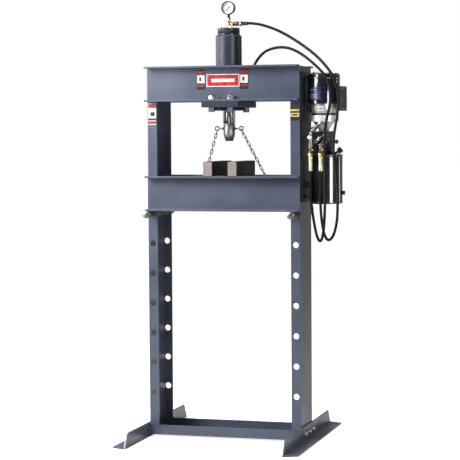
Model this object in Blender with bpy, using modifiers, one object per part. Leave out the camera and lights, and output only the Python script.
"""Hydraulic shop press: an H-frame of steel channels with a double-acting cylinder in its head, a bed on
pins that lift chains hang on the ram, and an electric power unit on the right upright.

Metres, +Z up. The press stands on Z = 0 and faces -Y. Sizes are written about the ram's axis, and the empty
"press" moves them all so that the origin is in the middle of the floor area that the whole press covers.
"""

import math

import bmesh
import bpy
import numpy as np
from mathutils import Matrix, Vector

GAP = 0.0003  # clearance between pieces that touch
ROUND = 24  # sides of an ordinary round piece
FINE_ROUND = 36  # sides of a large one

# Frame
FRAME_HALF = 0.3436  # ram axis to the outside of an upright's web
UPRIGHT_DEPTH = 0.2032
UPRIGHT_FLANGE = 0.042
UPRIGHT_WEB = 0.0065
UPRIGHT_FLANGE_WALL = 0.0075
UPRIGHT_LOW, UPRIGHT_HIGH = 0.0525, 1.6250
PIN_HOLE_X = 0.3229
PIN_HOLE_LOW = 0.1985
PIN_HOLE_PITCH = 0.1313
PIN_HOLES = 7
PIN_HOLE_RADIUS = 0.0135

# Head and bed channels
BEAM_HEIGHT = 0.1524
BEAM_FLANGE = 0.0488
BEAM_WEB = 0.0051
BEAM_FLANGE_WALL = 0.0075
HEAD_LOW = 1.4767
HEAD_FACE = UPRIGHT_DEPTH / 2 + GAP  # inside of a head channel's web
BED_LOW = 0.9995
BED_TOP = BED_LOW + BEAM_HEIGHT
BED_FACE = UPRIGHT_DEPTH / 2 + 0.0008  # the bed slides past the uprights
BED_SPACER_X = 0.2650
BED_SPACER_WALL = 0.0100
BED_SPACER_INSET = 0.012  # above and below it, inside the channels' height

# Base
BASE_LOW = 0.0095
FOOT_HALF = 0.4400
FOOT_TOP_HALF = 0.4000
FOOT_TOE_HALF = 0.4140
FOOT_LEG = 0.0635
FOOT_WALL = 0.0064

# Bed pins and press blocks
PIN_RADIUS = 0.0127
PIN_Z = BED_LOW - PIN_RADIUS - GAP
PIN_FRONT, PIN_REAR = -0.1820, 0.1720
PIN_HEAD_RADIUS, PIN_HEAD_LENGTH = 0.0165, 0.0140
PIN_CHAMFER = 0.0020
BLOCK_X = 0.0550
BLOCK_WIDTH, BLOCK_LENGTH, BLOCK_HEIGHT = 0.0410, 0.3050, 0.0630

# Cylinder and ram
PLATE_LOW, PLATE_HIGH = 1.4500, 1.4764
PLATE_HALF_X, PLATE_HALF_Y = 0.0825, 0.1500
PLATE_BORE = 0.0385
PLATE_BOLT_X, PLATE_BOLT_Y = 0.0420, 0.1290
PLATE_BOLT_RADIUS = 0.0080
PLATE_BOLT_HEAD, PLATE_BOLT_HEAD_HEIGHT = 0.0240, 0.0200
PLATE_BOLT_REACH = 0.0285  # the thread's end, above the head channels' underside
BOLT_CLEARANCE = 0.0005
GLAND_RADIUS, GLAND_DEPTH, GLAND_SPIGOT = 0.0700, 0.0135, 0.0200
TUBE_RADIUS, TUBE_BORE = 0.0571, 0.04445
TUBE_TOP = 1.7670
TUBE_CHAMFER = 0.0060
CAP_RADIUS, CAP_TOP, CAP_SPIGOT = 0.0485, 1.7980, 0.0220
PORT_Z, PORT_RADIUS = 1.5100, 0.0060
ROD_RADIUS, ROD_BORE = 0.0270, 0.0273
ROD_LOW, ROD_HIGH = 1.3800, 1.6950
PISTON_RADIUS, PISTON_TOP = 0.0441, 1.7380
SEAL_LOW, SEAL_HIGH = 1.7120, 1.7220
SEAL_DEPTH = 0.0060
NOSE_RADIUS, NOSE_TIP_RADIUS = 0.0252, 0.0165
NOSE_SHOULDER, NOSE_TIP = 1.3310, 1.3030

# Eye bolts and lift chains
EYE_X, EYE_Z = 0.0550, 1.3577
EYE_RING, EYE_WIRE = 0.0092, 0.0028
EYE_SHANK, EYE_SHANK_START, EYE_HOLE = 0.0030, 0.0170, 0.0034
EYE_COLLAR, EYE_COLLAR_LENGTH = 0.0060, 0.0050
CHAIN_RADIUS = 0.0045
CHAIN_START_GAP = 0.0140
LUG_X, LUG_Y = 0.1420, 0.0930
LUG_LOW, LUG_HIGH = 1.1180, 1.1480
LUG_HALF_X, LUG_HALF_Y = 0.0030, 0.0090
LUG_EYE, LUG_EYE_RISE = 0.0060, 0.0030
CHAIN_END = (LUG_X, LUG_Y, 1.1535)

# Gauge and its tee
TEE_Z = 1.8160
TEE_TOP = 1.8400
TEE_REACH = 0.0300
TEE_RADIUS, TEE_ARM_RADIUS = 0.0085, 0.0075
GAUGE_Z = 1.8855
GAUGE_RADIUS, GAUGE_BORE = 0.0285, 0.0262
GAUGE_BACK, GAUGE_FRONT = 0.0140, -0.0145
GAUGE_FLOOR, GAUGE_RIM = 0.0040, 0.0025
GAUGE_STEM_RADIUS, GAUGE_STEM_Y = 0.0055, 0.0040
DIAL_BACK, DIAL_FRONT = -0.0030, -0.0045
LENS_BACK, LENS_FRONT = -0.0110, -0.0130
NEEDLE_Y, NEEDLE_WALL = -0.0060, 0.0008
NEEDLE_TAIL, NEEDLE_TIP = 0.0070, 0.0200
NEEDLE_HALF, NEEDLE_TIP_HALF = 0.0011, 0.0003
HUB_RADIUS, HUB_BACK, HUB_FRONT = 0.0028, -0.0052, -0.0075
NEEDLE_REST_DEGREES = 135.0  # from straight up, anticlockwise as seen from the front

# Hoses, about the ram's axis
HOSE_RADIUS = 0.0060
HOSE_STEP = 0.0260
FERRULE_RADIUS = 0.0095
FERRULE_LOW, FERRULE_HIGH = 1.1723, 1.2380
HOSE_END_PROFILE = (
    (0.0, 0.0554), (0.0080, 0.0554), (0.0080, 0.0280), (0.0090, 0.0280), (0.0090, 0.0180),
    (0.0060, 0.0180), (0.0060, 0.0120), (0.0098, 0.0120), (0.0098, 0.0), (0.0, 0.0),
)
ELBOW_RADIUS, ELBOW_BEND, ELBOW_POINTS = 0.0085, 0.0120, 5
ADVANCE_ROUTE = (
    (0.086, 0.000, 1.816), (0.104, 0.000, 1.816), (0.151, -0.004, 1.808),
    (0.220, -0.011, 1.784), (0.285, -0.019, 1.750),
    (0.346, -0.032, 1.711), (0.403, -0.051, 1.669), (0.453, -0.072, 1.621), (0.485, -0.084, 1.577),
    (0.505, -0.093, 1.524), (0.512, -0.101, 1.457), (0.505, -0.109, 1.388), (0.498, -0.121, 1.328),
    (0.498, -0.134, 1.261), (0.508, -0.148, 1.185), (0.522, -0.171, 1.101), (0.528, -0.194, 1.026),
    (0.525, -0.198, 0.962), (0.506, -0.177, 0.905), (0.476, -0.136, 0.881), (0.448, -0.093, 0.901),
    (0.431, -0.070, 0.958), (0.427, -0.076, 1.034), (0.430, -0.084, 1.106), (0.430, -0.084, 1.172),
)
RETURN_ROUTE = (
    (0.100, 0.000, 1.545), (0.100, 0.000, 1.562), (0.104, -0.002, 1.596),
    (0.117, -0.004, 1.633), (0.140, -0.010, 1.666),
    (0.172, -0.017, 1.692), (0.217, -0.022, 1.706), (0.265, -0.028, 1.706), (0.311, -0.037, 1.691),
    (0.359, -0.050, 1.662), (0.408, -0.070, 1.624), (0.446, -0.083, 1.586), (0.470, -0.092, 1.542),
    (0.478, -0.097, 1.496), (0.473, -0.102, 1.445), (0.464, -0.109, 1.400), (0.458, -0.119, 1.350),
    (0.457, -0.128, 1.291), (0.461, -0.141, 1.218), (0.467, -0.165, 1.134), (0.474, -0.196, 1.052),
    (0.475, -0.209, 0.983), (0.465, -0.193, 0.912), (0.442, -0.144, 0.877), (0.415, -0.092, 0.894),
    (0.395, -0.066, 0.957), (0.387, -0.074, 1.034), (0.386, -0.084, 1.102), (0.386, -0.084, 1.172),
)

# Power unit
MOTOR_X = 0.4260
MOTOR_RADIUS, MOTOR_BORE = 0.06985, 0.0470
MOTOR_LOW, MOTOR_HIGH = 1.4613, 1.5940
ADAPTOR_RADIUS, ADAPTOR_NECK = 0.0560, 0.0500
ADAPTOR_LOW, ADAPTOR_STEP = 1.4123, 1.4210
PUMP_RADIUS, PUMP_HIGH, PUMP_FLANGE_LOW, PUMP_LOW = 0.0640, 1.4120, 1.3860, 1.3440
MOTOR_WALL = 0.0180
ROTOR_RADIUS, ROTOR_SHOULDER, ROTOR_RISE = 0.0440, 0.0100, 0.0150
SHAFT_RADIUS, SHAFT_BORE = 0.0080, 0.0100
SHAFT_TOP_GAP, SHAFT_LOW_GAP, PUMP_BORE_RISE = 0.0220, 0.0080, 0.0040
PUMP_NECK_RADIUS, PUMP_SNOUT_RADIUS, PUMP_SNOUT = 0.0480, 0.0220, 0.0080
VALVE_LOW, VALVE_HIGH = (0.4030, -0.0380, 1.2560), (0.4630, 0.0380, 1.3437)
LEVER_PIVOT = (0.4670, -0.0200, 1.2980)
LEVER_LENGTH, LEVER_RADIUS, KNOB_RADIUS = 0.0190, 0.0035, 0.0095
LEVER_BOSS_RADIUS, LEVER_BOSS_GAP = 0.0070, 0.0015
RISER_RADIUS = 0.0240
RELIEF_START, RELIEF_END = (0.432, -0.031, 1.329), (0.392, -0.056, 1.289)
RELIEF_RADIUS, RELIEF_BORE = 0.0095, 0.0098
RETURN_FITTING_AT, RETURN_FITTING_RADIUS = (0.4135, -0.0570), 0.0070
RETURN_FITTING_BENDS = ((0.4110, -0.0600, 1.3657), (0.3900, -0.0800, 1.3440), (0.3860, -0.0840, 1.3350))
ADVANCE_FITTING_X, ADVANCE_FITTING_RADIUS = 0.4400, 0.0075
ADVANCE_FITTING_BENDS = (
    (0.4400, -0.0603, 1.3000), (0.4370, -0.0720, 1.2970),
    (0.4320, -0.0820, 1.2850), (0.4300, -0.0840, 1.2750),
)
TANK_X = 0.4380
TANK_RADIUS, TANK_WALL = 0.0680, 0.0030
TANK_LOW, TANK_HIGH = 1.0300, 1.2330
LID_RADIUS, LID_HIGH = 0.0695, 1.2433
FILLER_TILT = math.radians(50.0)
FILLER_END = (0.4920, -0.0050, 1.2566)
FILLER_CAP_RADIUS, FILLER_CAP_LENGTH, FILLER_CAP_GAP = 0.0130, 0.0150, 0.0006
FILLER_NECK_RADIUS, FILLER_NECK_BACK, FILLER_NECK_RISE = 0.0090, 0.0100, 0.0050
DRAIN_Z, DRAIN_ACROSS, DRAIN_LENGTH = 1.0776, 0.0170, 0.0115
BRACKET_WALL, BRACKET_HALF = 0.0070, 0.0800
BRACKET_LOW, BRACKET_HIGH = 1.0400, 1.6000
ARM_REACH_GAP = 0.0005
# Each arm: the face that it reaches, half its width, its underside and its top.
BRACKET_ARMS = (
    (MOTOR_X - ADAPTOR_RADIUS, 0.0280, 1.4250, 1.4580),
    (TANK_X - TANK_RADIUS, 0.0250, 1.1000, 1.1250),
)
SWITCH_LOW, SWITCH_HIGH = (0.4962, -0.0500, 1.4310), (0.5160, 0.0400, 1.5360)
SWITCH_WALL, SWITCH_COVER = 0.0020, 0.0027
SWITCH_BUSH_RADIUS, SWITCH_BUSH_GAP = 0.0055, 0.0012
SWITCH_LEVER_TILT = math.radians(-15.0)
SWITCH_LEVER_LENGTH, SWITCH_LEVER_RADIUS = 0.0100, 0.0020
SWITCH_TIP_RADIUS = 0.0029
SWITCH_PIVOT = (0.5215, -0.0050, 1.4900)

# The press covers the floor from the left foot's toe to the tip of the switch lever.
LEFT_REACH = FRAME_HALF + GAP + FOOT_LEG
RIGHT_REACH = SWITCH_PIVOT[0] + SWITCH_LEVER_LENGTH * math.cos(SWITCH_LEVER_TILT)
RIGHT_REACH += SWITCH_TIP_RADIUS * math.sin(-SWITCH_LEVER_TILT)
RAM_X = (LEFT_REACH - RIGHT_REACH) / 2


def clear_scene():
    for old in list(bpy.data.objects):
        bpy.data.objects.remove(old, do_unlink=True)


def new_collection(name):
    made = bpy.data.collections.new(name)
    bpy.context.scene.collection.children.link(made)
    return made


def finish(name, colour, roughness, metallic):
    made = bpy.data.materials.new(name)
    made.use_nodes = True
    shader = made.node_tree.nodes["Principled BSDF"]
    shader.inputs["Base Color"].default_value = (*colour, 1.0)
    shader.inputs["Roughness"].default_value = roughness
    shader.inputs["Metallic"].default_value = metallic
    return made


class Workshop:
    """The collections, the parent empty and the finishes that every piece shares."""

    def __init__(self):
        self.parts = new_collection("hydraulic_shop_press")
        self.cutters = new_collection("cutters")
        self.press = bpy.data.objects.new("press", None)
        self.press.location = (RAM_X, 0.0, 0.0)
        self.parts.objects.link(self.press)
        self.paint = finish("frame_paint", (0.115, 0.135, 0.165), 0.45, 0.0)
        self.black = finish("black_enamel", (0.012, 0.012, 0.014), 0.25, 0.0)
        self.steel = finish("machined_steel", (0.55, 0.53, 0.50), 0.40, 1.0)
        self.chrome = finish("chrome", (0.80, 0.80, 0.80), 0.12, 1.0)
        self.zinc = finish("zinc_plate", (0.62, 0.62, 0.60), 0.35, 1.0)
        self.brass = finish("brass", (0.72, 0.52, 0.22), 0.30, 1.0)
        self.alloy = finish("cast_alloy", (0.68, 0.68, 0.67), 0.45, 1.0)
        self.rubber = finish("hose_rubber", (0.010, 0.010, 0.010), 0.55, 0.0)
        self.seal = finish("seal", (0.02, 0.05, 0.14), 0.50, 0.0)
        self.white = finish("dial_white", (0.85, 0.85, 0.83), 0.60, 0.0)
        self.glass = finish("lens", (0.90, 0.93, 0.95), 0.05, 0.0)


def place(shop, name, data, material, parent, helper=False):
    """Puts data in the scene as an object under its parent: a piece, or a helper that cuts or joins one."""
    obj = bpy.data.objects.new(name, data)
    data.materials.append(material)
    (shop.cutters if helper else shop.parts).objects.link(obj)
    obj.parent = parent or shop.press
    if helper:
        obj.hide_render = True
        obj.display_type = "WIRE"
    return obj


def anchor(shop, name, at, parent=None):
    """An empty on a joint's axis, which the pieces that move together hang on."""
    empty = bpy.data.objects.new(name, None)
    shop.parts.objects.link(empty)
    empty.parent = parent or shop.press
    offset = Vector(parent.location) if parent else Vector((0.0, 0.0, 0.0))
    empty.location = Vector(at) - offset
    return empty


def settle(obj, at, direction=(0.0, 0.0, 1.0)):
    """Places obj at a point given about the ram's axis, with its own +Z along direction."""
    parent = obj.parent
    inside = parent is not None and parent.name != "press"
    offset = Vector(parent.location) if inside else Vector((0.0, 0.0, 0.0))
    obj.location = Vector(at) - offset
    obj.rotation_mode = "QUATERNION"
    obj.rotation_quaternion = Vector((0.0, 0.0, 1.0)).rotation_difference(Vector(direction))
    return obj


def soften(mesh, degrees=35.0):
    mesh.shade_smooth()
    mesh.set_sharp_from_angle(angle=math.radians(degrees))


def block(shop, name, low, high, material, parent=None, bevel=0.0, helper=False):
    """A box between two corners, with its origin in the middle."""
    low, high = Vector(low), Vector(high)
    shape = bmesh.new()
    bmesh.ops.create_cube(shape, size=1.0, matrix=Matrix.Diagonal((*(high - low), 1.0)))
    mesh = bpy.data.meshes.new(name)
    shape.to_mesh(mesh)
    shape.free()
    obj = settle(place(shop, name, mesh, material, parent, helper), (low + high) / 2)
    if bevel:
        edges = obj.modifiers.new("edges", "BEVEL")
        edges.width = bevel
        edges.segments = 1
    return obj


def round_bar(shop, name, radius, start, end, material, parent=None, sides=ROUND, helper=False, tip=None):
    """A cylinder, cone or prism from start to end, with its origin at start."""
    start, end = Vector(start), Vector(end)
    length = (end - start).length
    shape = bmesh.new()
    bmesh.ops.create_cone(
        shape,
        cap_ends=True,
        segments=sides,
        radius1=radius,
        radius2=radius if tip is None else tip,
        depth=length,
        matrix=Matrix.Translation((0.0, 0.0, length / 2)),
    )
    mesh = bpy.data.meshes.new(name)
    shape.to_mesh(mesh)
    shape.free()
    soften(mesh)
    return settle(place(shop, name, mesh, material, parent, helper), start, end - start)


def hexagon(shop, name, across, start, end, material, parent=None, helper=False):
    return round_bar(shop, name, across / math.sqrt(3.0), start, end, material, parent, 6, helper)


def turned(shop, name, profile, at, material, parent=None, axis=(0.0, 0.0, 1.0), steps=ROUND, closed=False):
    """A turned piece. The profile's (radius, height) points run down the outer side."""
    mesh = bpy.data.meshes.new(name)
    points = [(radius, 0.0, height) for radius, height in profile]
    edges = [(i, i + 1) for i in range(len(points) - 1)]
    if closed:
        edges.append((len(points) - 1, 0))
    mesh.from_pydata(points, edges, [])
    obj = settle(place(shop, name, mesh, material, parent), at, axis)
    screw = obj.modifiers.new("turn", "SCREW")
    screw.steps = steps
    screw.render_steps = steps
    screw.use_merge_vertices = True
    screw.merge_threshold = 0.00001
    screw.use_smooth_shade = False
    return obj


def as_mesh(obj):
    """Swaps a curve object for the mesh of its solid, with the loose caps welded on."""
    graph = bpy.context.evaluated_depsgraph_get()
    bpy.context.view_layer.update()
    mesh = bpy.data.meshes.new_from_object(obj.evaluated_get(graph))
    shape = bmesh.new()
    shape.from_mesh(mesh)
    bmesh.ops.remove_doubles(shape, verts=shape.verts, dist=0.000001)
    bmesh.ops.recalc_face_normals(shape, faces=shape.faces)
    shape.to_mesh(mesh)
    shape.free()
    name, parent, collections = obj.name, obj.parent, list(obj.users_collection)
    location, turn = obj.location.copy(), obj.rotation_quaternion.copy()
    bpy.data.objects.remove(obj, do_unlink=True)
    made = bpy.data.objects.new(name, mesh)
    for home in collections:
        home.objects.link(made)
    made.parent = parent
    made.location = location
    made.rotation_mode = "QUATERNION"
    made.rotation_quaternion = turn
    return made


def extruded(shop, name, outline, middle, axes, length, material, parent=None, helper=False):
    """A flat outline, drawn along the two given axes about middle, made length thick across them."""
    curve = bpy.data.curves.new(name, "CURVE")
    curve.dimensions = "2D"
    curve.fill_mode = "BOTH"
    curve.extrude = length / 2
    spline = curve.splines.new("POLY")
    spline.points.add(len(outline) - 1)
    for point, (u, v) in zip(spline.points, outline):
        point.co = (u, v, 0.0, 1.0)
    spline.use_cyclic_u = True
    obj = settle(place(shop, name, curve, material, parent, helper), middle)
    across, up = (Vector(axis) for axis in axes)
    turn = Matrix((across, up, across.cross(up))).transposed()
    obj.rotation_quaternion = turn.to_quaternion()
    made = as_mesh(obj)
    if helper:
        made.hide_render = True
        made.display_type = "WIRE"
    return made


def pipe(shop, name, points, radius, material, parent=None, fineness=3):
    """A round tube along points, which are given about the ram's axis."""
    curve = bpy.data.curves.new(name, "CURVE")
    curve.dimensions = "3D"
    curve.bevel_depth = radius
    curve.bevel_resolution = fineness
    curve.use_fill_caps = True
    spline = curve.splines.new("POLY")
    spline.points.add(len(points) - 1)
    start = Vector(points[0])
    for point, place_ in zip(spline.points, points):
        point.co = (*(Vector(place_) - start), 1.0)
    return settle(place(shop, name, curve, material, parent), start)


def boolean(target, other, operation, name):
    change = target.modifiers.new(name, "BOOLEAN")
    change.operation = operation
    change.solver = "EXACT"
    change.object = other


def drill(shop, target, name, holes, sides=16):
    """Cuts round holes, each (radius, start, end), with one cutter object."""
    shape = bmesh.new()
    for radius, start, end in holes:
        start, end = Vector(start), Vector(end)
        turn = Vector((0.0, 0.0, 1.0)).rotation_difference(end - start)
        middle = Matrix.Translation((start + end) / 2) @ turn.to_matrix().to_4x4()
        bmesh.ops.create_cone(
            shape,
            cap_ends=True,
            segments=sides,
            radius1=radius,
            radius2=radius,
            depth=(end - start).length,
            matrix=middle,
        )
    mesh = bpy.data.meshes.new(name)
    shape.to_mesh(mesh)
    shape.free()
    cutter = place(shop, name, mesh, shop.steel, None, helper=True)
    boolean(target, cutter, "DIFFERENCE", name)


def channel_outline(depth, flange, web, wall):
    """A channel's section: web on the v axis, flanges towards +u."""
    half = depth / 2
    return (
        (0.0, -half), (flange, -half), (flange, wall - half), (web, wall - half),
        (web, half - wall), (flange, half - wall), (flange, half), (0.0, half),
    )


def smooth_route(route, step):
    """Points about every step along a smooth curve through the route's points."""
    knots = [np.array(point) for point in route]
    knots = [2 * knots[0] - knots[1], *knots, 2 * knots[-1] - knots[-2]]
    fine = []
    for before, start, end, after in zip(knots, knots[1:], knots[2:], knots[3:]):
        for t in np.arange(0.0, 1.0, 0.05):
            curve = 2 * start + (end - before) * t
            curve = curve + (2 * before - 5 * start + 4 * end - after) * t**2
            fine.append((curve + (3 * start - before - 3 * end + after) * t**3) / 2)
    fine = np.array([*fine, knots[-2]])
    along = np.concatenate([[0.0], np.cumsum(np.linalg.norm(np.diff(fine, axis=0), axis=1))])
    wanted = np.linspace(0.0, along[-1], round(along[-1] / step) + 1)
    return [tuple(np.interp(wanted_at, along, fine[:, k]) for k in range(3)) for wanted_at in wanted]


def build_uprights(shop):
    height = UPRIGHT_HIGH - UPRIGHT_LOW
    section = channel_outline(UPRIGHT_DEPTH, UPRIGHT_FLANGE, UPRIGHT_WEB, UPRIGHT_FLANGE_WALL)
    for side, name in ((-1, "upright_left"), (1, "upright_right")):
        outline = [(-side * u, v) for u, v in section]
        middle = (side * FRAME_HALF, 0.0, UPRIGHT_LOW + height / 2)
        axes = ((1.0, 0.0, 0.0), (0.0, 1.0, 0.0))
        upright = extruded(shop, name, outline, middle, axes, height, shop.paint)
        reach = UPRIGHT_DEPTH / 2 + 0.01
        holes = []
        for step in range(PIN_HOLES):
            z = PIN_HOLE_LOW + step * PIN_HOLE_PITCH
            ends = [(side * PIN_HOLE_X, y, z) for y in (-reach, reach)]
            holes.append((PIN_HOLE_RADIUS, *ends))
        drill(shop, upright, name + "_pin_holes", holes)


def beam(shop, name, side, face, low, parent=None):
    """A channel across the frame. Its web's inner side is at face, and its flanges point outwards."""
    section = channel_outline(BEAM_HEIGHT, BEAM_FLANGE, BEAM_WEB, BEAM_FLANGE_WALL)
    outline = [(side * u, v) for u, v in section]
    middle = (0.0, side * face, low + BEAM_HEIGHT / 2)
    axes = ((0.0, 1.0, 0.0), (0.0, 0.0, 1.0))
    return extruded(shop, name, outline, middle, axes, 2 * FRAME_HALF, shop.paint, parent)


def build_head(shop):
    for side, name in ((-1, "head_channel_front"), (1, "head_channel_rear")):
        channel = beam(shop, name, side, HEAD_FACE, HEAD_LOW)
        holes = []
        for x in (-PLATE_BOLT_X, PLATE_BOLT_X):
            y = side * PLATE_BOLT_Y
            low, high = (x, y, HEAD_LOW - 0.01), (x, y, HEAD_LOW + 0.02)
            holes.append((PLATE_BOLT_RADIUS + BOLT_CLEARANCE, low, high))
        drill(shop, channel, name + "_bolt_holes", holes)


def build_base(shop):
    section = channel_outline(UPRIGHT_DEPTH, UPRIGHT_LOW - GAP - BASE_LOW, UPRIGHT_WEB, UPRIGHT_FLANGE_WALL)
    outline = [(v, u) for u, v in section]
    axes = ((0.0, 1.0, 0.0), (0.0, 0.0, 1.0))
    middle = (0.0, 0.0, BASE_LOW)
    extruded(shop, "base_channel", outline, middle, axes, 2 * (FRAME_HALF - GAP), shop.paint)
    for side, name in ((-1, "foot_left"), (1, "foot_right")):
        inner = FRAME_HALF + GAP
        leg = (
            (-FOOT_HALF, 0.0), (FOOT_HALF, 0.0), (FOOT_TOP_HALF, FOOT_LEG), (-FOOT_TOP_HALF, FOOT_LEG),
        )
        middle = (side * (inner + FOOT_WALL / 2), 0.0, 0.0)
        foot = extruded(shop, name, leg, middle, axes, FOOT_WALL, shop.paint)
        toe = [(side * u, v) for u, v in (
            (inner, -FOOT_HALF), (inner + FOOT_LEG, -FOOT_TOE_HALF),
            (inner + FOOT_LEG, FOOT_TOE_HALF), (inner, FOOT_HALF),
        )]
        flat = ((1.0, 0.0, 0.0), (0.0, 1.0, 0.0))
        middle = (0.0, 0.0, FOOT_WALL / 2)
        sole = extruded(shop, name + "_sole", toe, middle, flat, FOOT_WALL, shop.paint, None, True)
        boolean(foot, sole, "UNION", "sole")


def build_bed(shop):
    bed = anchor(shop, "bed_lift", (0.0, 0.0, BED_LOW))
    beam(shop, "bed_channel_front", -1, BED_FACE, BED_LOW, bed)
    rear = beam(shop, "bed_channel_rear", 1, BED_FACE, BED_LOW, bed)
    for side, word in ((-1, "left"), (1, "right")):
        x = side * BED_SPACER_X
        low = (x - BED_SPACER_WALL / 2, GAP - BED_FACE, BED_LOW + BED_SPACER_INSET)
        high = (x + BED_SPACER_WALL / 2, BED_FACE - GAP, BED_TOP - BED_SPACER_INSET)
        block(shop, "bed_spacer_" + word, low, high, shop.paint, bed)
        low = (side * LUG_X - LUG_HALF_X, LUG_Y - LUG_HALF_Y, LUG_LOW)
        high = (side * LUG_X + LUG_HALF_X, BED_FACE + 0.002, LUG_HIGH)
        lug = block(shop, "chain_lug_" + word, low, high, shop.paint, bed, 0.0, True)
        boolean(rear, lug, "UNION", "lug_" + word)
    eye = (LUG_LOW + LUG_HIGH) / 2 + LUG_EYE_RISE
    holes = []
    for x in (-LUG_X, LUG_X):
        holes.append((LUG_EYE, (x - 0.01, LUG_Y, eye), (x + 0.01, LUG_Y, eye)))
    drill(shop, rear, "chain_lug_eyes", holes)
    for side, word in ((-1, "left"), (1, "right")):
        x = side * BLOCK_X
        low = (x - BLOCK_WIDTH / 2, -BLOCK_LENGTH / 2, BED_TOP + GAP)
        high = (x + BLOCK_WIDTH / 2, BLOCK_LENGTH / 2, BED_TOP + GAP + BLOCK_HEIGHT)
        block(shop, "press_block_" + word, low, high, shop.steel, bed, 0.0015)
    return bed


def build_pins(shop):
    for side, word in ((-1, "left"), (1, "right")):
        length = PIN_REAR - PIN_FRONT
        head = length + PIN_HEAD_LENGTH
        profile = (
            (0.0, head), (PIN_HEAD_RADIUS - PIN_CHAMFER, head), (PIN_HEAD_RADIUS, head - PIN_CHAMFER),
            (PIN_HEAD_RADIUS, length), (PIN_RADIUS, length), (PIN_RADIUS, PIN_CHAMFER),
            (PIN_RADIUS - PIN_CHAMFER, 0.0), (0.0, 0.0),
        )
        at = (side * PIN_HOLE_X, PIN_REAR, PIN_Z)
        turned(shop, "bed_pin_" + word, profile, at, shop.steel, None, (0.0, -1.0, 0.0), 24)


def build_cylinder(shop):
    length = TUBE_TOP - HEAD_LOW
    profile = (
        (TUBE_BORE, length), (TUBE_RADIUS - TUBE_CHAMFER, length), (TUBE_RADIUS, length - TUBE_CHAMFER),
        (TUBE_RADIUS, 0.0), (TUBE_BORE, 0.0),
    )
    at = (0.0, 0.0, HEAD_LOW)
    tube = turned(shop, "cylinder_tube", profile, at, shop.paint, None, steps=FINE_ROUND, closed=True)
    port = (PORT_RADIUS, (TUBE_BORE - 0.01, 0.0, PORT_Z), (TUBE_RADIUS + 0.01, 0.0, PORT_Z))
    drill(shop, tube, "rod_end_port", [port], 12)
    height, chamfer = CAP_TOP - TUBE_TOP, 0.003
    profile = (
        (0.0, height), (CAP_RADIUS - chamfer, height), (CAP_RADIUS, height - chamfer), (CAP_RADIUS, GAP),
        (TUBE_BORE - GAP, GAP), (TUBE_BORE - GAP, -CAP_SPIGOT), (0.0, -CAP_SPIGOT),
    )
    turned(shop, "cylinder_cap", profile, (0.0, 0.0, TUBE_TOP), shop.paint, None, steps=FINE_ROUND)
    build_ram_plate(shop)
    profile = (
        (ROD_BORE, GLAND_SPIGOT), (PLATE_BORE - GAP, GLAND_SPIGOT), (PLATE_BORE - GAP, -GAP),
        (GLAND_RADIUS, -GAP), (GLAND_RADIUS, chamfer - GLAND_DEPTH), (GLAND_RADIUS - chamfer, -GLAND_DEPTH),
        (ROD_BORE, -GLAND_DEPTH),
    )
    at = (0.0, 0.0, PLATE_LOW)
    turned(shop, "gland", profile, at, shop.paint, None, steps=FINE_ROUND, closed=True)


def build_ram_plate(shop):
    """The plate that carries the cylinder, and the four bolts that hold it under the head channels."""
    low, high = (-PLATE_HALF_X, -PLATE_HALF_Y, PLATE_LOW), (PLATE_HALF_X, PLATE_HALF_Y, PLATE_HIGH)
    plate = block(shop, "ram_plate", low, high, shop.paint, None, 0.0015)
    under, over = PLATE_LOW - 0.01, PLATE_HIGH + 0.01
    drill(shop, plate, "ram_plate_bore", [(PLATE_BORE, (0, 0, under), (0, 0, over))], 32)
    bolts = [(x, y) for y in (-PLATE_BOLT_Y, PLATE_BOLT_Y) for x in (-PLATE_BOLT_X, PLATE_BOLT_X)]
    holes = [(PLATE_BOLT_RADIUS + BOLT_CLEARANCE, (x, y, under), (x, y, over)) for x, y in bolts]
    drill(shop, plate, "ram_plate_bolt_holes", holes)
    top = PLATE_LOW - GAP
    end = HEAD_LOW + PLATE_BOLT_REACH
    for word, (x, y) in zip(("front_left", "front_right", "rear_left", "rear_right"), bolts):
        foot = (x, y, top - PLATE_BOLT_HEAD_HEIGHT)
        bolt = hexagon(shop, "plate_bolt_" + word, PLATE_BOLT_HEAD, foot, (x, y, top), shop.zinc)
        start = (x, y, top - 0.002)
        shank = round_bar(
            shop, "shank_" + word, PLATE_BOLT_RADIUS, start, (x, y, end), shop.zinc, None, 16, True,
        )
        boolean(bolt, shank, "UNION", "shank")


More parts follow.
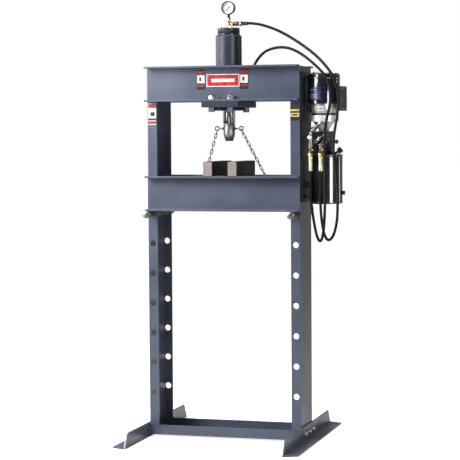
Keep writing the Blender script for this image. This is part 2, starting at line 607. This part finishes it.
def build_ram(shop):
    ram = anchor(shop, "ram_slide", (0.0, 0.0, NOSE_TIP))
    low, groove = ROD_HIGH + GAP, PISTON_RADIUS - SEAL_DEPTH
    profile = (
        (0.0, PISTON_TOP), (PISTON_RADIUS, PISTON_TOP), (PISTON_RADIUS, SEAL_HIGH), (groove, SEAL_HIGH),
        (groove, SEAL_LOW), (PISTON_RADIUS, SEAL_LOW), (PISTON_RADIUS, low), (0.0, low),
    )
    turned(shop, "piston", profile, (0.0, 0.0, 0.0), shop.steel, ram, steps=FINE_ROUND)
    profile = (
        (groove + GAP, SEAL_HIGH - GAP), (PISTON_RADIUS, SEAL_HIGH - GAP), (PISTON_RADIUS, SEAL_LOW + GAP),
        (groove + GAP, SEAL_LOW + GAP),
    )
    turned(shop, "piston_seal", profile, (0.0, 0.0, 0.0), shop.seal, ram, steps=FINE_ROUND, closed=True)
    low, high = (0.0, 0.0, ROD_LOW), (0.0, 0.0, ROD_HIGH)
    round_bar(shop, "ram_rod", ROD_RADIUS, low, high, shop.chrome, ram, FINE_ROUND)
    top = ROD_LOW - GAP - NOSE_TIP
    profile = (
        (0.0, top), (NOSE_RADIUS - 0.001, top), (NOSE_RADIUS, top - 0.001),
        (NOSE_RADIUS, NOSE_SHOULDER - NOSE_TIP), (NOSE_TIP_RADIUS, 0.0), (0.0, 0.0),
    )
    nose = turned(shop, "ram_nose", profile, (0.0, 0.0, NOSE_TIP), shop.steel, ram, steps=FINE_ROUND)
    for side, word in ((-1, "left"), (1, "right")):
        hole = (EYE_HOLE, (side * 0.014, 0.0, EYE_Z), (side * 0.030, 0.0, EYE_Z))
        drill(shop, nose, "eye_bolt_hole_" + word, [hole], 12)
        build_eye_bolt(shop, side, word, ram)


def build_eye_bolt(shop, side, word, ram):
    """A screw with a round eye that takes the chain's first link."""
    turn = Matrix.Rotation(math.radians(90.0), 4, "X")
    bpy.ops.mesh.primitive_torus_add(
        major_segments=20, minor_segments=8, major_radius=EYE_RING, minor_radius=EYE_WIRE, generate_uvs=False,
    )
    ring = bpy.context.object
    mesh = ring.data
    bpy.data.objects.remove(ring, do_unlink=True)
    mesh.transform(turn)
    soften(mesh)
    name = "eye_bolt_" + word
    mesh.name = name
    eye = settle(place(shop, name, mesh, shop.zinc, ram), (side * EYE_X, 0.0, EYE_Z))
    start, end = (side * EYE_SHANK_START, 0.0, EYE_Z), (side * (EYE_X - EYE_RING), 0.0, EYE_Z)
    shank = round_bar(shop, "eye_shank_" + word, EYE_SHANK, start, end, shop.zinc, ram, 10, True)
    start = (side * (NOSE_RADIUS + GAP), 0.0, EYE_Z)
    end = (side * (NOSE_RADIUS + EYE_COLLAR_LENGTH), 0.0, EYE_Z)
    collar = round_bar(shop, "eye_collar_" + word, EYE_COLLAR, start, end, shop.zinc, ram, 12, True)
    boolean(eye, shank, "UNION", "shank")
    boolean(eye, collar, "UNION", "collar")


def build_chains(shop, bed):
    for side, word in ((-1, "left"), (1, "right")):
        eye = Vector((side * EYE_X, 0.0, EYE_Z))
        end = Vector((side * CHAIN_END[0], CHAIN_END[1], CHAIN_END[2]))
        start = eye + (end - eye).normalized() * CHAIN_START_GAP
        round_bar(shop, "lift_chain_" + word, CHAIN_RADIUS, start, end, shop.zinc, bed, 8)


def build_gauge(shop):
    low, high = (0.0, 0.0, CAP_TOP + GAP), (0.0, 0.0, TEE_TOP)
    tee = round_bar(shop, "gauge_tee", TEE_RADIUS, low, high, shop.brass, None, 16)
    start, end = (0.0, 0.0, TEE_Z), (TEE_REACH, 0.0, TEE_Z)
    arm = round_bar(shop, "tee_arm", TEE_ARM_RADIUS, start, end, shop.brass, None, 16, True)
    boolean(tee, arm, "UNION", "arm")
    depth, rim = GAUGE_BACK - GAUGE_FRONT, GAUGE_RADIUS + 0.001
    profile = (
        (0.0, GAUGE_FLOOR), (GAUGE_BORE, GAUGE_FLOOR), (GAUGE_BORE, depth), (rim, depth),
        (rim, depth - GAUGE_RIM), (GAUGE_RADIUS, depth - GAUGE_RIM), (GAUGE_RADIUS, 0.002),
        (GAUGE_RADIUS - 0.002, 0.0), (0.0, 0.0),
    )
    at, forward = (0.0, GAUGE_BACK, GAUGE_Z), (0.0, -1.0, 0.0)
    case = turned(shop, "gauge_case", profile, at, shop.zinc, None, forward, 40)
    low = (0.0, GAUGE_STEM_Y, TEE_TOP + GAP)
    high = (0.0, GAUGE_STEM_Y, GAUGE_Z - GAUGE_BORE - 0.001)
    stem = round_bar(shop, "gauge_stem", GAUGE_STEM_RADIUS, low, high, shop.zinc, None, 6, True)
    boolean(case, stem, "UNION", "stem")
    inside = GAUGE_BORE - GAP
    back, front = (0.0, DIAL_BACK, GAUGE_Z), (0.0, DIAL_FRONT, GAUGE_Z)
    round_bar(shop, "gauge_dial", inside, back, front, shop.white, None, 40)
    back, front = (0.0, LENS_BACK, GAUGE_Z), (0.0, LENS_FRONT, GAUGE_Z)
    round_bar(shop, "gauge_lens", inside, back, front, shop.glass, None, 40)
    build_needle(shop)


def build_needle(shop):
    outline = (
        (-NEEDLE_HALF, -NEEDLE_TAIL), (NEEDLE_HALF, -NEEDLE_TAIL), (NEEDLE_HALF, 0.0),
        (NEEDLE_TIP_HALF, NEEDLE_TIP), (-NEEDLE_TIP_HALF, NEEDLE_TIP), (-NEEDLE_HALF, 0.0),
    )
    axes = ((1.0, 0.0, 0.0), (0.0, 0.0, 1.0))
    middle = (0.0, NEEDLE_Y, GAUGE_Z)
    needle = extruded(shop, "gauge_needle", outline, middle, axes, NEEDLE_WALL, shop.black)
    back, front = (0.0, HUB_BACK, GAUGE_Z), (0.0, HUB_FRONT, GAUGE_Z)
    hub = round_bar(shop, "needle_hub", HUB_RADIUS, back, front, shop.black, None, 12, True)
    boolean(needle, hub, "UNION", "hub")
    lean = Matrix.Rotation(math.radians(-NEEDLE_REST_DEGREES), 3, "Y").to_quaternion()
    needle.rotation_quaternion = lean @ needle.rotation_quaternion


def build_hoses(shop):
    for name, route in (("hose_advance", ADVANCE_ROUTE), ("hose_return", RETURN_ROUTE)):
        pipe(shop, name, smooth_route(route, HOSE_STEP), HOSE_RADIUS, shop.rubber, None, 2)
    at = (TEE_REACH + GAP, 0.0, TEE_Z)
    turned(shop, "hose_end_tee", HOSE_END_PROFILE, at, shop.zinc, None, (1.0, 0.0, 0.0), 16)
    x, top = RETURN_ROUTE[0][0], RETURN_ROUTE[0][2] - GAP
    bend = []
    for angle in np.linspace(0, math.pi / 2, ELBOW_POINTS):
        across, up = ELBOW_BEND * (1 - math.sin(angle)), ELBOW_BEND * (1 - math.cos(angle))
        bend.append((x - across, 0.0, PORT_Z + up))
    points = [(TUBE_RADIUS + GAP, 0.0, PORT_Z), *bend, (x, 0.0, top)]
    pipe(shop, "port_elbow", points, ELBOW_RADIUS, shop.zinc, None, 3)
    for name, route in (("ferrule_advance", ADVANCE_ROUTE), ("ferrule_return", RETURN_ROUTE)):
        x, y, _ = route[-1]
        low, high = (x, y, FERRULE_LOW), (x, y, FERRULE_HIGH)
        round_bar(shop, name, FERRULE_RADIUS, low, high, shop.brass, None, 20)


def build_bracket(shop):
    """The plate that carries the power unit, with an arm to the motor and one to the reservoir."""
    back = FRAME_HALF + GAP
    low, high = (back, -BRACKET_HALF, BRACKET_LOW), (back + BRACKET_WALL, BRACKET_HALF, BRACKET_HIGH)
    bracket = block(shop, "unit_bracket", low, high, shop.black)
    for index, (face, half, under, top) in enumerate(BRACKET_ARMS):
        low, high = (back + 0.002, -half, under), (face - ARM_REACH_GAP, half, top)
        arm = block(shop, f"bracket_arm_{index}", low, high, shop.black, None, 0.0, True)
        boolean(bracket, arm, "UNION", f"arm_{index}")


def build_motor(shop):
    inside = MOTOR_HIGH - MOTOR_WALL
    profile = (
        (0.0, MOTOR_HIGH), (MOTOR_RADIUS - 0.010, MOTOR_HIGH), (MOTOR_RADIUS - 0.003, MOTOR_HIGH - 0.003),
        (MOTOR_RADIUS, MOTOR_HIGH - 0.010), (MOTOR_RADIUS, MOTOR_LOW), (MOTOR_BORE, MOTOR_LOW),
        (MOTOR_BORE, inside), (0.0, inside),
    )
    axis_at = (MOTOR_X, 0.0, 0.0)
    turned(shop, "motor_housing", profile, axis_at, shop.black, None, steps=FINE_ROUND)
    top, bottom = MOTOR_HIGH - SHAFT_TOP_GAP, PUMP_FLANGE_LOW + SHAFT_LOW_GAP
    core_top, core_low = top - ROTOR_SHOULDER, MOTOR_LOW + ROTOR_RISE
    profile = (
        (0.0, top), (SHAFT_RADIUS, top), (SHAFT_RADIUS, core_top), (ROTOR_RADIUS, core_top),
        (ROTOR_RADIUS, core_low), (SHAFT_RADIUS, core_low), (SHAFT_RADIUS, bottom), (0.0, bottom),
    )
    turned(shop, "motor_rotor", profile, axis_at, shop.steel, None, steps=ROUND)
    top = MOTOR_LOW - GAP
    profile = (
        (SHAFT_BORE, top), (ADAPTOR_RADIUS, top), (ADAPTOR_RADIUS, ADAPTOR_STEP),
        (ADAPTOR_NECK, ADAPTOR_STEP), (ADAPTOR_NECK, ADAPTOR_LOW), (SHAFT_BORE, ADAPTOR_LOW),
    )
    turned(shop, "motor_adaptor", profile, axis_at, shop.alloy, None, steps=FINE_ROUND, closed=True)
    bottom = PUMP_FLANGE_LOW + PUMP_BORE_RISE
    profile = (
        (0.0, bottom), (SHAFT_BORE, bottom), (SHAFT_BORE, PUMP_HIGH), (PUMP_RADIUS, PUMP_HIGH),
        (PUMP_RADIUS, PUMP_FLANGE_LOW), (PUMP_NECK_RADIUS, PUMP_FLANGE_LOW),
        (PUMP_SNOUT_RADIUS, PUMP_LOW + PUMP_SNOUT), (PUMP_SNOUT_RADIUS, PUMP_LOW), (0.0, PUMP_LOW),
    )
    turned(shop, "pump", profile, axis_at, shop.alloy, None, steps=FINE_ROUND)


def build_valve(shop):
    valve = block(shop, "valve_block", VALVE_LOW, VALVE_HIGH, shop.black)
    low, high = (TANK_X, 0.0, LID_HIGH + GAP), (TANK_X, 0.0, VALVE_LOW[2] + 0.004)
    riser = round_bar(shop, "valve_riser", RISER_RADIUS, low, high, shop.black, None, ROUND, True)
    pivot_y, pivot_z = LEVER_PIVOT[1:]
    start = (VALVE_HIGH[0] - 0.004, pivot_y, pivot_z)
    end = (LEVER_PIVOT[0] - LEVER_BOSS_GAP, pivot_y, pivot_z)
    boss = round_bar(shop, "lever_boss", LEVER_BOSS_RADIUS, start, end, shop.black, None, 16, True)
    boolean(valve, riser, "UNION", "riser")
    boolean(valve, boss, "UNION", "boss")
    start, end = Vector(RELIEF_START), Vector(RELIEF_END)
    away = (end - start).normalized()
    drill(shop, valve, "relief_bore", [(RELIEF_BORE, start - away * GAP, end)], 16)
    round_bar(shop, "relief_valve", RELIEF_RADIUS, start, end, shop.zinc, None, 16)
    build_fittings(shop)
    knob = LEVER_LENGTH
    profile = [(0.0, knob + KNOB_RADIUS)]
    for degrees in range(60, -61, -30):
        angle = math.radians(degrees)
        profile.append((KNOB_RADIUS * math.cos(angle), knob + KNOB_RADIUS * math.sin(angle)))
    profile += [(LEVER_RADIUS, knob - KNOB_RADIUS * 0.9), (LEVER_RADIUS, 0.0), (0.0, 0.0)]
    turned(shop, "valve_lever", profile, LEVER_PIVOT, shop.black, None, (1.0, 0.0, 0.0), 16)


def build_fittings(shop):
    """The bent fittings between the hoses' ferrules, the pump's flange and the valve block."""
    x, y, _ = RETURN_ROUTE[-1]
    top = PUMP_FLANGE_LOW - GAP
    points = ((*RETURN_FITTING_AT, top), (*RETURN_FITTING_AT, top - 0.012), *RETURN_FITTING_BENDS,
              (x, y, FERRULE_HIGH + GAP))
    pipe(shop, "fitting_return", points, RETURN_FITTING_RADIUS, shop.zinc, None, 2)
    x, y, _ = ADVANCE_ROUTE[-1]
    start = (ADVANCE_FITTING_X, VALVE_LOW[1] - GAP, ADVANCE_FITTING_BENDS[0][2])
    points = (start, *ADVANCE_FITTING_BENDS, (x, y, FERRULE_HIGH + GAP))
    pipe(shop, "fitting_advance", points, ADVANCE_FITTING_RADIUS, shop.zinc, None, 2)


def build_tank(shop):
    inner = TANK_RADIUS - TANK_WALL
    profile = (
        (0.0, TANK_LOW + TANK_WALL), (inner, TANK_LOW + TANK_WALL), (inner, TANK_HIGH),
        (TANK_RADIUS, TANK_HIGH), (TANK_RADIUS, TANK_LOW + 0.004), (TANK_RADIUS - 0.004, TANK_LOW),
        (0.0, TANK_LOW),
    )
    axis_at = (TANK_X, 0.0, 0.0)
    turned(shop, "reservoir", profile, axis_at, shop.black, None, steps=FINE_ROUND)
    low, spigot = TANK_HIGH + GAP, 0.008
    profile = (
        (0.0, LID_HIGH), (LID_RADIUS - 0.002, LID_HIGH), (LID_RADIUS, LID_HIGH - 0.002), (LID_RADIUS, low),
        (inner - GAP, low), (inner - GAP, low - spigot), (0.0, low - spigot),
    )
    lid = turned(shop, "reservoir_lid", profile, axis_at, shop.black, None, steps=FINE_ROUND)
    away = Vector((math.sin(FILLER_TILT), 0.0, math.cos(FILLER_TILT)))
    end = Vector(FILLER_END)
    foot = (end.x - FILLER_NECK_BACK, end.y, LID_HIGH - 0.003)
    bend = (foot[0] + 0.001, end.y, LID_HIGH + FILLER_NECK_RISE)
    neck = as_mesh(pipe(shop, "filler_neck", (foot, bend, tuple(end)), FILLER_NECK_RADIUS, shop.black))
    shop.parts.objects.unlink(neck)
    shop.cutters.objects.link(neck)
    neck.hide_render = True
    neck.display_type = "WIRE"
    boolean(lid, neck, "UNION", "filler_neck")
    start = end + away * FILLER_CAP_GAP
    end = start + away * FILLER_CAP_LENGTH
    round_bar(shop, "filler_cap", FILLER_CAP_RADIUS, start, end, shop.black, None, 20)
    start = (TANK_X + TANK_RADIUS + GAP, 0.0, DRAIN_Z)
    end = (start[0] + DRAIN_LENGTH, 0.0, DRAIN_Z)
    hexagon(shop, "drain_plug", DRAIN_ACROSS, start, end, shop.black)


def build_switch(shop):
    low, high = Vector(SWITCH_LOW), Vector(SWITCH_HIGH)
    box = block(shop, "switch_box", low, high, shop.black)
    inner_low = low + Vector((SWITCH_WALL,) * 3)
    inner_high = (high.x + 0.01, high.y - SWITCH_WALL, high.z - SWITCH_WALL)
    hollow = block(shop, "switch_hollow", inner_low, inner_high, shop.black, None, 0.0, True)
    boolean(box, hollow, "DIFFERENCE", "hollow")
    face = high.x + GAP
    cover_low, cover_high = (face, low.y, low.z), (face + SWITCH_COVER, high.y, high.z)
    cover = block(shop, "switch_cover", cover_low, cover_high, shop.black)
    pivot_x, pivot_y, pivot_z = SWITCH_PIVOT
    start, end = (face + 0.001, pivot_y, pivot_z), (pivot_x - SWITCH_BUSH_GAP, pivot_y, pivot_z)
    bush = round_bar(shop, "switch_bush", SWITCH_BUSH_RADIUS, start, end, shop.zinc, None, 12, True)
    boolean(cover, bush, "UNION", "bush")
    away = Vector((math.cos(SWITCH_LEVER_TILT), 0.0, math.sin(SWITCH_LEVER_TILT)))
    tip = Vector(SWITCH_PIVOT) + away * SWITCH_LEVER_LENGTH
    round_bar(
        shop, "switch_lever", SWITCH_LEVER_RADIUS, SWITCH_PIVOT, tip,
        shop.zinc, None, 12, False, SWITCH_TIP_RADIUS,
    )


def main():
    clear_scene()
    shop = Workshop()
    build_uprights(shop)
    build_head(shop)
    build_base(shop)
    bed = build_bed(shop)
    build_pins(shop)
    build_cylinder(shop)
    build_ram(shop)
    build_chains(shop, bed)
    build_gauge(shop)
    build_hoses(shop)
    build_bracket(shop)
    build_motor(shop)
    build_valve(shop)
    build_tank(shop)
    build_switch(shop)
    bpy.context.view_layer.update()


main()
